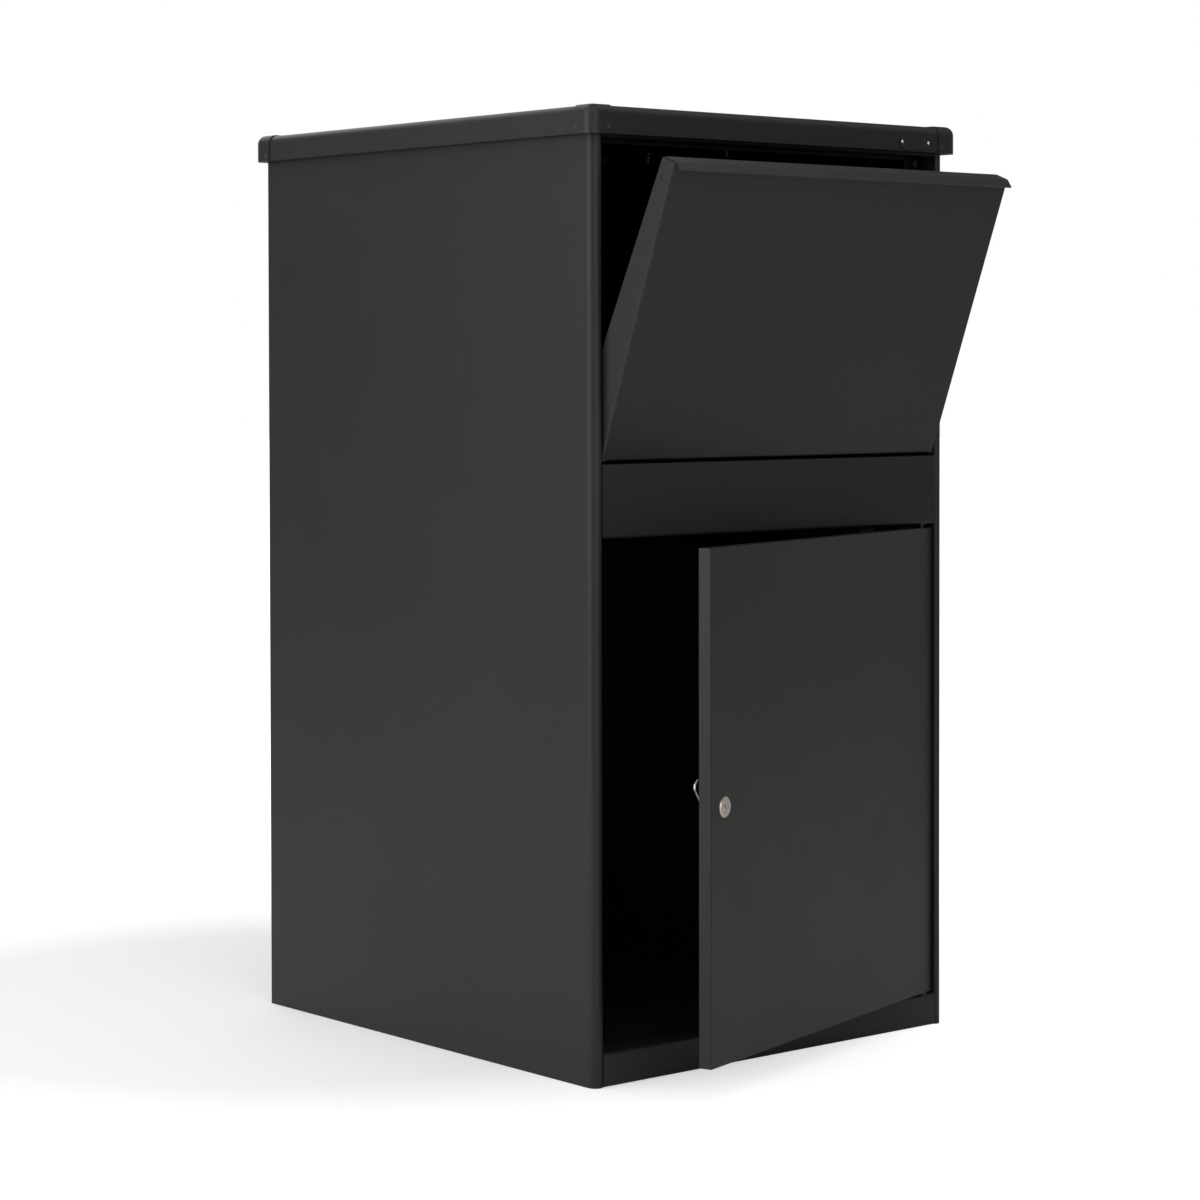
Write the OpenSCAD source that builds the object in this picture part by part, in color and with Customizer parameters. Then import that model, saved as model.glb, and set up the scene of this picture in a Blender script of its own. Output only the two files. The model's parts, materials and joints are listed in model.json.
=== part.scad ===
// Freestanding parcel drop box of folded sheet steel: a roof with riveted corner caps, a drop flap
// with an inner hopper tray above, and a locked collection door below.
// Millimetres, +Z up, front towards -Y. The origin lies on the ground under the centre of the cabinet.

/* [Cabinet] */
// Width over the side panels
body_w = 525; // [400:1:700]
// Depth from the front plane to the back plane
body_d = 600; // [450:1:800]
// Height from the ground to the lower edge of the roof skirt
body_h = 1000; // [850:1:1300]
// Thickness of the cabinet, flap and door sheet
sheet = 1.5; // [1:0.1:2.5]
// Inside radius of an ordinary fold
bend_r = 1.2; // [0.8:0.1:3]
// Outside radius of the two rolled front uprights
corner_r = 10; // [6:0.5:14]
// Width of each front upright
upright_w = 13; // [10:0.5:30]
// Depth of the upright's return leg
return_d = 19; // [15:0.5:30]
// Width of the rear return flange of a side panel
rear_flange_w = 20; // [14:1:40]
// Gap between two sheets that are fixed together
fit = 0.2; // [0.1:0.05:0.5]

/* [Roof] */
// Overhang of the roof beyond the cabinet
roof_over = 10; // [5:0.5:30]
// Height of the upright part of the roof skirt
skirt_h = 20.5; // [15:0.5:40]
// Size of the sloping edge above the skirt
roof_bevel = 9; // [4:0.5:15]
// Width of the fold under the skirt
roof_hem = 6; // [4:0.5:8]
// How far the cabinet's sheets reach up inside the roof
body_rise = 19; // [12:1:21]
// Leg length of a corner cap
cap_leg = 30; // [15:1:50]
// Thickness of a corner cap
cap_t = 1; // [0.8:0.1:3]
// Gap between a corner cap and the roof
cap_gap = 0.15; // [0.05:0.05:0.4]
// Distance of a cap rivet from the outer corner
cap_rivet_in = 24; // [10:0.5:40]
// Height of a cap rivet above the skirt's lower edge
cap_rivet_z = 5.8; // [4:0.5:15]
// Width of the roof rails' top flange
rail_w = 25; // [18:1:40]
// Depth of the roof rails' upright flange below the roof
rail_drop = 42; // [32:1:80]

/* [Nameplate] */
// Length of the nameplate
plate_l = 50; // [30:1:90]
// Height of the nameplate
plate_h = 17; // [10:0.5:19]
// Thickness of the nameplate
plate_t = 0.8; // [0.5:0.1:2]
// Distance from the right roof edge to the nameplate
plate_in = 42; // [28:1:120]

/* [Front layout] */
// Height of the plinth below the door
plinth_h = 36; // [25:1:80]
// Depth of the plinth's ledge
ledge_d = 34; // [25:1:60]
// Gap under the door
door_gap_b = 3; // [2:0.5:8]
// Gap above the door
door_gap_t = 5; // [3:0.5:10]
// Gap on the door's latch side
door_gap_l = 1.5; // [1:0.1:5]
// Gap on the door's hinge side
door_gap_r = 3.5; // [2:0.1:6]
// Height of the fascia between door and flap
fascia_h = 78; // [50:1:150]
// Gap between the fascia and the closed flap
flap_gap_b = 5; // [4:0.5:12]
// Gap between the closed flap and the header rail
flap_gap_t = 7.5; // [3:0.5:12]
// Gap beside the flap
flap_gap_s = 1.5; // [1:0.1:4]
// How far the header rail shows below the roof skirt
header_show = 3.5; // [3:0.5:20]
// Depth of the header rail
header_d = 30; // [28:1:60]

/* [Flap] */
// Height of the flap
flap_h = 329; // [220:1:420]
// Depth of the flap's cheeks at the bottom
cheek_bot = 51; // [35:1:90]
// Depth of the flap's cheeks at the top
cheek_top = 20; // [18:1:40]
// Opening angle of the flap at rest
flap_open = 20.8; // [0:0.1:45]
// Full opening angle of the flap
flap_max = 45; // [20:1:60]
// Distance of the flap's pivot behind its front face
flap_pin_y = 8; // [7:0.1:12]
// Height of the flap's pivot above its lower edge
flap_pin_z = 8.4; // [7:0.1:15]
// How far the grip lip stands in front of the flap
lip_out = 9.5; // [5:0.5:25]
// How far the grip lip drops at its front edge
lip_drop = 6; // [3:0.5:12]
// Inset of the grip lip from the flap's sides
lip_in = 2; // [0:0.5:10]
// Length of the sloping part of the hopper tray
tray_l = 240; // [150:1:300]
// Slope of the hopper tray below level when the flap is shut
tray_slope = 50; // [30:1:70]
// Depth of the flap's bottom flange
flap_foot = 40; // [30:1:60]

/* [Door] */
// Depth of the door's folded edge
door_t = 15; // [12:0.5:30]
// Setback of the door behind the front plane
door_set = 0.5; // [0:0.1:3]
// Width of the fold behind the door's edge
door_hem = 12; // [8:0.5:16]
// Opening angle of the door at rest
door_open = 17.1; // [0:0.1:90]
// Distance of the door's pivot from its hinge edge
door_pin_x = 11.8; // [9:0.1:20]
// Distance of the door's pivot behind its front face
door_pin_y = 7.5; // [6:0.1:15]

/* [Pivots] */
// Radius of the pivot pins
pin_r = 3; // [2:0.1:5]
// Running clearance around a pin
run = 0.08; // [0.02:0.01:0.1]
// Wall of a pivot bush
bush_wall = 1.4; // [1:0.1:3]
// Thickness of a thin bush collar
collar_t = 0.9; // [0.5:0.1:1.2]

/* [Lock] */
// Distance of the lock from the door's latch edge
lock_in = 26; // [22:0.5:60]
// Radius of the lock's face
lock_face_r = 11; // [9:0.5:14]
// Height of the lock's face in front of the door
lock_face_h = 2.2; // [1:0.1:4]
// Radius of the lock's threaded barrel
lock_r = 9.4; // [8:0.1:12]
// Width across the barrel's two flats
lock_flat = 16.5; // [14:0.1:20]
// Length of the lock from the door's front face to its cam
lock_l = 20; // [18:0.5:35]
// Radius of the turning plug
plug_r = 6; // [4:0.1:7]
// Length of the cam from the lock's axis
cam_l = 33.5; // [30:0.5:60]
// Width of the cam
cam_w = 14; // [10:0.5:20]
// Thickness of the cam
cam_t = 2; // [1.5:0.1:4]
// Angle of the cam from upright at rest, towards the latch edge
cam_turn = 38; // [0:1:90]

/* [Fixings] */
// Radius of a blind rivet's shank
rivet_r = 1.6; // [1.2:0.1:3]
// Radius of a blind rivet's head
rivet_head_r = 3.2; // [2.2:0.1:5]
// Height of a blind rivet's head
rivet_head_h = 1.1; // [0.6:0.1:2]
// Gap around a shank in its hole
hole_gap = 0.15; // [0.05:0.05:0.4]
// Radius of the ground anchor holes
anchor_r = 6.25; // [4:0.05:9]
// Spacing of the ground anchor holes across the width
anchor_x = 340; // [200:1:380]
// Spacing of the ground anchor holes front to back
anchor_y = 420; // [250:1:440]
// Radius of the wall fixing holes
wall_r = 4.25; // [3:0.05:7]
// Spacing of the wall fixing holes across the width
wall_x = 300; // [150:1:380]
// Spacing of the wall fixing holes up the back
wall_z = 600; // [300:1:640]
// Height of the lower wall fixing holes
wall_z0 = 150; // [80:1:250]

/* [Hidden] */
$fn = 48;
hw = body_w / 2;
hd = body_d / 2;
yf = -hd;
hollow_r = corner_r - sheet;
in_x = hw - sheet;
leg_x = hw - upright_w;
out_r = bend_r + sheet;
mid = sheet / 2;
body_top = body_h + body_rise;
roof_h = skirt_h + roof_bevel;
roof_z = body_h + roof_h;
roof_in_z = roof_z - sheet;
rx = hw + roof_over;
ry = hd + roof_over;
roof_r = roof_over + 1;
roof_round = min(roof_bevel, roof_r - 1);
// heights of the front, from the top down
header_z = body_h - header_show;
flap_top = header_z - flap_gap_t;
flap_z = flap_top - flap_h;
fascia_top = flap_z - flap_gap_b;
fascia_z = fascia_top - fascia_h;
door_top = fascia_z - door_gap_t;
door_z = plinth_h + door_gap_b;
door_h = door_top - door_z;
// cross members between the uprights
span_x = leg_x - fit;
member_d = return_d - 1;
header_lip = 12;
head_pad_x = span_x - 12;
head_pad_z = 7.2;
// flap
flap_x = leg_x - flap_gap_s;
flap_py = yf + flap_pin_y;
flap_pz = flap_z + flap_pin_z;
sheet_top = flap_h - sheet;
lip_x = flap_x - lip_in;
lip_seat = cheek_top - 2;
lip_rear = 9;
lip_tab = 29;
lip_screw_y = 12;
lip_screw_s = flap_h - 21;
lip_screw_r = 1.9;
tray_x = flap_x - sheet - 2;
tray_y0 = 15;
tray_hem = 12;
tray_rivets = 5;
// door
door_x0 = -leg_x + door_gap_l;
door_x1 = leg_x - door_gap_r;
door_y = yf + door_set;
door_px = door_x1 - door_pin_x;
door_py = door_y + door_pin_y;
pin_head_r = pin_r + 2.2;
pin_head_h = 1.8;
bush_r = pin_r + run + bush_wall;
collar_r = bush_r + 2;
bush_l = 6;
// lock
lock_x = door_x0 + lock_in;
lock_z = door_z + door_h / 2;
cam_y = door_y + lock_l;
cam_sq = 7;
cam_boss = 8;
cam_cut = 3.5;
nut_af = 24;
nut_h = 5;
screw_r = 2;
keyway = [1.3, 7.5, 9];
// upper and lower stops
stop_y = 120;
stop_w = 30;
stop_drop = 30;
stop_x = tray_x - 12;
pad_r = 8;
// height of the hopper tray's upper face above the stop when the flap is fully open
tray_a = [flap_foot + 2 - flap_pin_y, 2 * sheet - flap_pin_z];
tray_b = [tray_a[0] * cos(flap_max) - tray_a[1] * sin(flap_max),
    tray_a[0] * sin(flap_max) + tray_a[1] * cos(flap_max)];
tray_dir = tray_slope - flap_max;
pad_z = flap_pz + tray_b[1] - (stop_y - pad_r - flap_pin_y - tray_b[0]) * tan(tray_dir) + 0.8;
pad_h = 7;
door_pad_t = 1.5;
door_stop_x = door_x1 - 90;
door_stop_w = 24;
door_stop_h = 14;
baffle_x = in_x - 6;
baffle_z = flap_pz + 150;
baffle_flange = 30;
baffle_run = 170;
baffle_fall = 100;
rail_y0 = yf + header_d + 15;
rail_y1 = hd - 20;
mat_t = 3;
mat_in = 12;
floor_y0 = yf + return_d + 1;
floor_y1 = hd - 2 * sheet - fit;
floor_lip = 28;
stud_r = 2.5;
stud_l = 14;
nut_small = 8;

steel = [0.235, 0.235, 0.225];
inner_steel = [0.20, 0.20, 0.195];
zinc = [0.70, 0.71, 0.72];
rubber = [0.06, 0.06, 0.06];
nylon = [0.12, 0.12, 0.12];
nickel = [0.72, 0.69, 0.64];

// reach of the cores that join a straight run of sheet to the folds beside it
lap = 0.3;

// ---- folded sheet, drawn along its centre line with a round fold at each corner ----
function unit(v) = v / norm(v);
function turn_at(p, i) = let (a = unit(p[i] - p[i - 1]), b = unit(p[i + 1] - p[i]))
    atan2(a[0] * b[1] - a[1] * b[0], a * b);
function cut_at(p, i, rc) = rc * tan(abs(turn_at(p, i)) / 2);

module fold_arc(p, i, rc, th) {
    a = unit(p[i] - p[i - 1]);
    b = unit(p[i + 1] - p[i]);
    s = turn_at(p, i) > 0 ? 1 : -1;
    t = cut_at(p, i, rc);
    c = p[i] - a * t + s * rc * [-a[1], a[0]];
    intersection() {
        translate(c) difference() {
            circle(r = rc + th / 2);
            circle(r = rc - th / 2);
        }
        polygon([c, c + 2 * (p[i] - a * t - c), c + 2 * (p[i] - c), c + 2 * (p[i] + b * t - c)]);
    }
}

// p is the centre line, l the length of the run along z
module folded(p, l, th = sheet, ri = bend_r) {
    rc = ri + th / 2;
    n = len(p);
    union() {
        for (i = [0:n - 2]) {
            d = unit(p[i + 1] - p[i]);
            a = p[i] + (i > 0 ? cut_at(p, i, rc) : 0) * d;
            b = p[i + 1] - (i < n - 2 ? cut_at(p, i + 1, rc) : 0) * d;
            q = [-d[1], d[0]] * th / 2;
            linear_extrude(height = l) polygon([a + q, b + q, b - q, a - q]);
            // a core inside the sheet joins each straight run to the fold beside it
            for (e = [0, 1]) if (e == 0 ? i > 0 : i < n - 2) {
                c = e == 0 ? a : b;
                linear_extrude(height = l)
                    polygon([c - lap * d + q / 2, c + lap * d + q / 2, c + lap * d - q / 2,
                        c - lap * d - q / 2]);
            }
        }
        if (n > 2) for (i = [1:n - 2]) linear_extrude(height = l) fold_arc(p, i, rc, th);
    }
}
// the same with p given as [y, z] and the run along x from x0 to x1
module folded_x(x0, x1, p) {
    translate([x0, 0, 0]) rotate([90, 0, 90]) folded(p, x1 - x0);
}

// a profile given as [y, z], run along x from x0 to x1
module along_x(x0, x1) {
    translate([x0, 0, 0]) rotate([90, 0, 90]) linear_extrude(height = x1 - x0) children();
}

// a box between two corners
module box(a, b) {
    translate([min(a[0], b[0]), min(a[1], b[1]), min(a[2], b[2])])
        cube([abs(b[0] - a[0]), abs(b[1] - a[1]), abs(b[2] - a[2])]);
}

// rods and discs along an axis, from the point p in the direction of the axis
module rod_x(p, r, l) { translate(p) rotate([0, 90, 0]) cylinder(r = r, h = l); }
module rod_y(p, r, l) { translate(p) rotate([-90, 0, 0]) cylinder(r = r, h = l); }
module rod_z(p, r, l) { translate(p) cylinder(r = r, h = l); }

// a low domed head standing on z = 0
module dome(r, h) {
    rs = (r * r + h * h) / (2 * h);
    intersection() {
        translate([0, 0, h - rs]) sphere(r = rs);
        cylinder(r = r, h = h + 1);
    }
}

// blind rivet through a stack of sheets: head on z = 0, shank down through grip, set tail below
module rivet(grip) {
    union() {
        dome(rivet_head_r, rivet_head_h);
        translate([0, 0, -grip - 1.5]) cylinder(r = rivet_r, h = grip + 1.5);
        translate([0, 0, -grip - 2.7]) cylinder(r = rivet_r * 1.45, h = 2.6);
    }
}
// the same set from inside, with its outer end flush in the wall
module flush_rivet(grip) {
    union() {
        dome(rivet_head_r, rivet_head_h);
        translate([0, 0, -grip]) cylinder(r = rivet_r, h = grip);
    }
}
module rivet_hole_x(p, l) { rod_x(p, rivet_r + hole_gap, l); }
module rivet_hole_y(p, l) { rod_y(p, rivet_r + hole_gap, l); }
module rivet_hole_z(p, l) { rod_z(p, rivet_r + hole_gap, l); }

// moves pieces drawn shut to their place at rest
module at_flap() {
    translate([0, flap_py, flap_pz]) rotate([flap_open, 0, 0]) translate([0, -flap_py, -flap_pz])
        children();
}
module at_door() {
    translate([door_px, door_py, 0]) rotate([0, 0, door_open]) translate([-door_px, -door_py, 0])
        children();
}
module at_lock() {
    at_door() translate([lock_x, door_y, lock_z]) rotate([0, -cam_turn, 0]) children();
}

// ---- places of the fixings ----
member_y = yf + 11;
fascia_fix_z = [fascia_z + 20, fascia_top - 20];
header_fix_z = body_h + 8;
plinth_fix_z = plinth_h / 2;
floor_fix_y = [floor_y0 + 60, 0, floor_y1 - 60];
floor_fix_z = 16;
rear_fix_z = [for (i = [0:4]) 60 + i * (body_h - 100) / 4];
rear_fix_x = hw - rear_flange_w / 2 - 1;
rail_fix_y = [rail_y0 + 40, (rail_y0 + rail_y1) / 2, rail_y1 - 40];
rail_fix_z = body_h + 8;
stud_y = [rail_y0 + 80, (rail_y0 + rail_y1) / 2 + 40, rail_y1 - 80];
stud_x = in_x - rail_w / 2 - 1;
baffle_fix_x = [-1, -1 / 3, 1 / 3, 1] * (baffle_x - 30);
baffle_fix_z = baffle_z + baffle_flange / 2 + 2;
stop_fix_z = pad_z + pad_h + stop_drop / 2 + 3;
stop_fix_dy = 8;

// ---- side panels ----
// outer wall, rolled front upright with its return leg, rear flange
module side_sheet(l) {
    x0 = -hw;
    union() {
        box([x0, yf + corner_r, 0], [x0 + sheet, hd - out_r, l]);
        for (y = [yf + corner_r, hd - out_r])
            box([x0 + sheet / 4, y - lap, 0], [x0 + sheet * 3 / 4, y + lap, l]);
        for (p = [[x0 + corner_r, yf + mid], [x0 + out_r, hd - mid]])
            box([p[0] - lap, p[1] - sheet / 4, 0], [p[0] + lap, p[1] + sheet / 4, l]);
        linear_extrude(height = l) intersection() {
            translate([x0 + corner_r, yf + corner_r]) difference() {
                circle(r = corner_r);
                circle(r = hollow_r);
            }
            translate([x0, yf]) square(corner_r);
        }
        folded([[x0 + corner_r, yf + mid], [-leg_x - mid, yf + mid],
            [-leg_x - mid, yf + return_d]], l, ri = min(bend_r, upright_w - corner_r - sheet - 0.1));
        linear_extrude(height = l) intersection() {
            translate([x0 + out_r, hd - out_r]) difference() {
                circle(r = out_r);
                circle(r = bend_r);
            }
            translate([x0, hd - out_r]) square(out_r);
        }
        box([x0 + out_r, hd - sheet, 0], [x0 + rear_flange_w, hd, l]);
    }
}
module box2(a, b) { translate(a) square(b - a); }

module left_panel_raw() {
    difference() {
        side_sheet(body_top);
        // pivot of the flap
        rod_x([-leg_x - sheet - 1, flap_py, flap_pz], bush_r + hole_gap, sheet + 2);
        for (z = concat(fascia_fix_z, [header_fix_z, plinth_fix_z]))
            rivet_hole_x([-leg_x - sheet - 1, member_y, z], sheet + 2);
        for (y = floor_fix_y) rivet_hole_x([-hw - 1, y, floor_fix_z], sheet + 2);
        for (y = rail_fix_y) rivet_hole_x([-hw - 1, y, rail_fix_z], sheet + 2);
        for (dy = [-stop_fix_dy, stop_fix_dy])
            rivet_hole_x([-hw - 1, yf + stop_y + dy, stop_fix_z], sheet + 2);
        for (z = rear_fix_z) rivet_hole_y([-rear_fix_x, hd - sheet - 1, z], sheet + 2);
    }
}
module left_side_panel() { color(steel) left_panel_raw(); }
module right_side_panel() { color(steel) mirror([1, 0, 0]) left_panel_raw(); }

module rear_panel() {
    w = in_x - bend_r - 0.3;
    y1 = hd - sheet - 0.05;
    color(steel) difference() {
        box([-w, y1 - sheet, 0], [w, y1, body_top]);
        for (sx = [-1, 1]) for (z = rear_fix_z)
            rivet_hole_y([sx * rear_fix_x, y1 - sheet - 1, z], sheet + 2);
        for (x = baffle_fix_x) rivet_hole_y([x, y1 - sheet - 1, baffle_fix_z], sheet + 2);
        for (sx = [-1, 1]) for (z = [wall_z0, wall_z0 + wall_z])
            rod_y([sx * wall_x / 2, y1 - sheet - 1, z], wall_r, sheet + 2);
    }
}

// ---- base ----
module floor_pan() {
    x1 = in_x - fit;
    color(steel) difference() {
        union() {
            folded_x(-x1 + out_r, x1 - out_r, [[floor_y0 + mid, floor_lip], [floor_y0 + mid, mid],
                [floor_y1 - mid, mid], [floor_y1 - mid, floor_lip]]);
            translate([0, floor_y1 - out_r - 1, 0]) rotate([90, 0, 0])
                folded([[-x1 + mid, floor_lip], [-x1 + mid, mid], [x1 - mid, mid], [x1 - mid, floor_lip]],
                    floor_y1 - floor_y0 - 2 * out_r - 2);
        }
        for (sx = [-1, 1]) for (sy = [-1, 1])
            rod_z([sx * anchor_x / 2, sy * anchor_y / 2, -1], anchor_r, sheet + 2);
        for (y = floor_fix_y) rivet_hole_x([-x1 - 1, y, floor_fix_z], sheet + 2);
        for (y = floor_fix_y) rivet_hole_x([x1 - sheet - 1, y, floor_fix_z], sheet + 2);
    }
}
module floor_mat() {
    x1 = in_x - mat_in;
    color(rubber) difference() {
        box([-x1, floor_y0 + mat_in, sheet + fit], [x1, floor_y1 - mat_in, sheet + fit + mat_t]);
        for (sx = [-1, 1]) for (sy = [-1, 1])
            rod_z([sx * anchor_x / 2, sy * anchor_y / 2, 0], anchor_r * 2, mat_t + sheet + 2);
    }
}

// ends of a cross member, folded back along the uprights
module member_ends(z0, z1) {
    for (sx = [-1, 1])
        box([sx * span_x, yf + mid, z0], [sx * (span_x - sheet), yf + member_d, z1]);
}
module member_holes(zs) {
    for (z = zs) for (x = [-span_x - 1, span_x - sheet - 1]) rivet_hole_x([x, member_y, z], sheet + 2);
}

module plinth_panel() {
    color(steel) difference() {
        union() {
            folded_x(-span_x, span_x, [[yf + member_d, mid], [yf + mid, mid],
                [yf + mid, plinth_h - mid], [yf + ledge_d - mid, plinth_h - mid],
                [yf + ledge_d - mid, plinth_h - 8]]);
            member_ends(mid, plinth_h - mid);
        }
        member_holes([plinth_fix_z]);
        rod_z([door_px, door_py, plinth_h - sheet - 1], bush_r + hole_gap, sheet + 2);
        rivet_hole_z([door_stop_x, yf + ledge_d - 9, plinth_h - sheet - 1], sheet + 2);
    }
}
module fascia_panel() {
    color(steel) difference() {
        union() {
            folded_x(-span_x, span_x, [[yf + member_d, fascia_top - mid], [yf + mid, fascia_top - mid],
                [yf + mid, fascia_z + mid], [yf + ledge_d, fascia_z + mid]]);
            member_ends(fascia_z + mid, fascia_top - mid);
        }
        member_holes(fascia_fix_z);
        rod_z([door_px, door_py, fascia_z - 1], bush_r + hole_gap, sheet + 2);
        rivet_hole_z([door_stop_x, yf + ledge_d - 9, fascia_z - 1], sheet + 2);
    }
}
module header_rail() {
    color(steel) difference() {
        union() {
            folded_x(-span_x, span_x, [[yf + mid, body_top], [yf + mid, header_z + mid],
                [yf + header_d - mid, header_z + mid], [yf + header_d - mid, header_z - header_lip]]);
            member_ends(header_z + mid, body_top - 1);
        }
        member_holes([header_fix_z]);
        for (sx = [-1, 1]) rod_y([sx * head_pad_x, yf + header_d - sheet - 1, header_z - head_pad_z], 2.2,
            sheet + 2);
        // the inner flange is cut back between the two pads
        box([-head_pad_x + 9, yf + header_d - sheet - 1, header_z - header_lip - 1],
            [head_pad_x - 9, yf + header_d + 1, header_z - sheet - 2]);
    }
}

// ---- roof ----
// section of the roof: upright sides and a rounded upper edge; half takes one side of it only
module roof_section(x, r, z0, zt, half = false) {
    difference() {
        translate([half ? 0 : -x, z0]) square([half ? x : 2 * x, zt - z0]);
        for (sx = half ? [1] : [-1, 1]) difference() {
            translate([sx > 0 ? x - r : -x - 1, zt - r]) square(r + 1);
            translate([sx * (x - r), zt - r]) circle(r = r);
        }
    }
}
// solid roof form with turned corners, grown outwards by g
module roof_form(g, z0) {
    x = rx + g;
    y = ry + g;
    rr = roof_r + g;
    r = roof_round + g;
    zt = roof_z + g;
    union() {
        translate([-x + rr, 0, 0]) rotate([90, 0, 90]) linear_extrude(height = 2 * (x - rr))
            roof_section(y, r, z0, zt);
        translate([0, y - rr, 0]) rotate([90, 0, 0]) linear_extrude(height = 2 * (y - rr))
            roof_section(x, r, z0, zt);
        for (sx = [-1, 1]) for (sy = [-1, 1]) translate([sx * (x - rr), sy * (y - rr), 0])
            rotate_extrude() roof_section(rr, r, z0, zt, true);
    }
}
module round_rect(x, y, r) {
    square([2 * x, 2 * (y - r)], center = true);
    square([2 * (x - r), 2 * y], center = true);
    for (sx = [-1, 1]) for (sy = [-1, 1]) translate([sx * (x - r), sy * (y - r)]) circle(r = r);
}
cap_fix_x = rx - cap_rivet_in;
cap_fix_y = ry - cap_rivet_in;
cap_fix_z = body_h + cap_rivet_z;
plate_x = rx - plate_in - plate_l / 2;
plate_z = body_h + skirt_h / 2;
plate_fix = plate_l / 2 - 4;

module roof_fix_holes(l, r) {
    for (sx = [-1, 1]) for (sy = [-1, 1]) {
        rod_x([sx * rx - l / 2, sy * cap_fix_y, cap_fix_z], r, l);
        rod_y([sx * cap_fix_x, sy * ry - l / 2, cap_fix_z], r, l);
    }
}
module roof_panel() {
    color(steel) difference() {
        union() {
            difference() {
                roof_form(0, body_h);
                roof_form(-sheet, body_h - 1);
            }
            // inward fold under the skirt
            translate([0, 0, body_h]) linear_extrude(height = sheet) difference() {
                round_rect(rx - mid, ry - mid, roof_r - mid);
                square([2 * (rx - roof_hem), 2 * (ry - roof_hem)], center = true);
            }
        }
        roof_fix_holes(8, rivet_r + hole_gap);
        for (s = [-1, 1]) rod_y([plate_x + s * plate_fix, -ry - 1, plate_z], 1.2 + hole_gap, sheet + 2);
    }
}
module roof_rail(sx) {
    // mirrored by sx; upright flange on the side panel, top flange under the roof
    x1 = in_x - fit;
    zt = roof_in_z - 0.05;
    color(inner_steel) difference() {
        mirror([sx < 0 ? 0 : 1, 0, 0]) translate([0, rail_y1, 0]) rotate([90, 0, 0])
            folded([[-x1 + mid, roof_in_z - rail_drop], [-x1 + mid, zt - mid], [-x1 + rail_w, zt - mid]],
                rail_y1 - rail_y0);
        for (y = rail_fix_y) rivet_hole_x([sx * (x1 - mid) - sheet, y, rail_fix_z], 2 * sheet);
        for (y = stud_y) rod_z([sx * stud_x, y, zt - sheet - 1], stud_r + 0.3, sheet + 2);
    }
}
module roof_rail_left() { roof_rail(-1); }
module roof_rail_right() { roof_rail(1); }

module roof_cap(sx, sy) {
    color(steel) difference() {
        intersection() {
            roof_form(cap_gap + cap_t, body_h - 0.4);
            translate([sx * rx, sy * ry, 0]) box([-sx * cap_leg, -sy * cap_leg, body_h - 2],
                [sx * 5, sy * 5, roof_z + 5]);
        }
        roof_form(cap_gap, body_h - 3);
        roof_fix_holes(12, rivet_r + hole_gap);
    }
}
module roof_cap_front_left() { roof_cap(-1, -1); }
module roof_cap_front_right() { roof_cap(1, -1); }
module roof_cap_rear_left() { roof_cap(-1, 1); }
module roof_cap_rear_right() { roof_cap(1, 1); }

module roof_cap_rivets() {
    g = cap_gap + cap_t + 0.05;
    grip = g + sheet;
    color(steel) for (sx = [-1, 1]) for (sy = [-1, 1]) {
        translate([sx * (rx + g), sy * cap_fix_y, cap_fix_z]) rotate([0, sx * 90, 0]) rivet(grip);
        translate([sx * cap_fix_x, sy * (ry + g), cap_fix_z]) rotate([-sy * 90, 0, 0]) rivet(grip);
    }
}
module roof_studs() {
    color(zinc) for (sx = [-1, 1]) for (y = stud_y)
        rod_z([sx * stud_x, y, roof_in_z - 0.05 - stud_l], stud_r, stud_l);
}
module roof_nuts() {
    zt = roof_in_z - 2 * 0.05 - sheet;
    color(zinc) for (sx = [-1, 1]) for (y = stud_y) translate([sx * stud_x, y, 0]) difference() {
        union() {
            rod_z([0, 0, zt - 1.2], nut_small * 0.68, 1.2);
            translate([0, 0, zt - 4.5]) cylinder(r = nut_small / sqrt(3), h = 3.5, $fn = 6);
        }
        rod_z([0, 0, zt - 6], stud_r + 0.1, 8);
    }
}
module nameplate() {
    y0 = -ry - 0.1;
    color(nylon) difference() {
        union() {
            translate([plate_x, y0, plate_z]) rotate([90, 0, 0]) linear_extrude(height = plate_t)
                round_rect(plate_l / 2, plate_h / 2, 5);
            translate([plate_x, y0 - plate_t + 0.1, plate_z]) rotate([90, 0, 0])
                linear_extrude(height = 0.4) difference() {
                    round_rect(plate_l / 2 - 0.8, plate_h / 2 - 0.8, 4.2);
                    round_rect(plate_l / 2 - 1.6, plate_h / 2 - 1.6, 3.4);
                }
        }
        for (s = [-1, 1]) rod_y([plate_x + s * plate_fix, y0 - 3, plate_z], 1.2 + hole_gap, 6);
    }
}
module nameplate_rivets() {
    color(zinc) for (s = [-1, 1])
        translate([plate_x + s * plate_fix, -ry - 0.15 - plate_t, plate_z]) rotate([90, 0, 0]) union() {
            dome(1.9, 0.8);
            translate([0, 0, -plate_t - sheet - 2]) cylinder(r = 1.2, h = plate_t + sheet + 2);
        }
}

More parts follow.
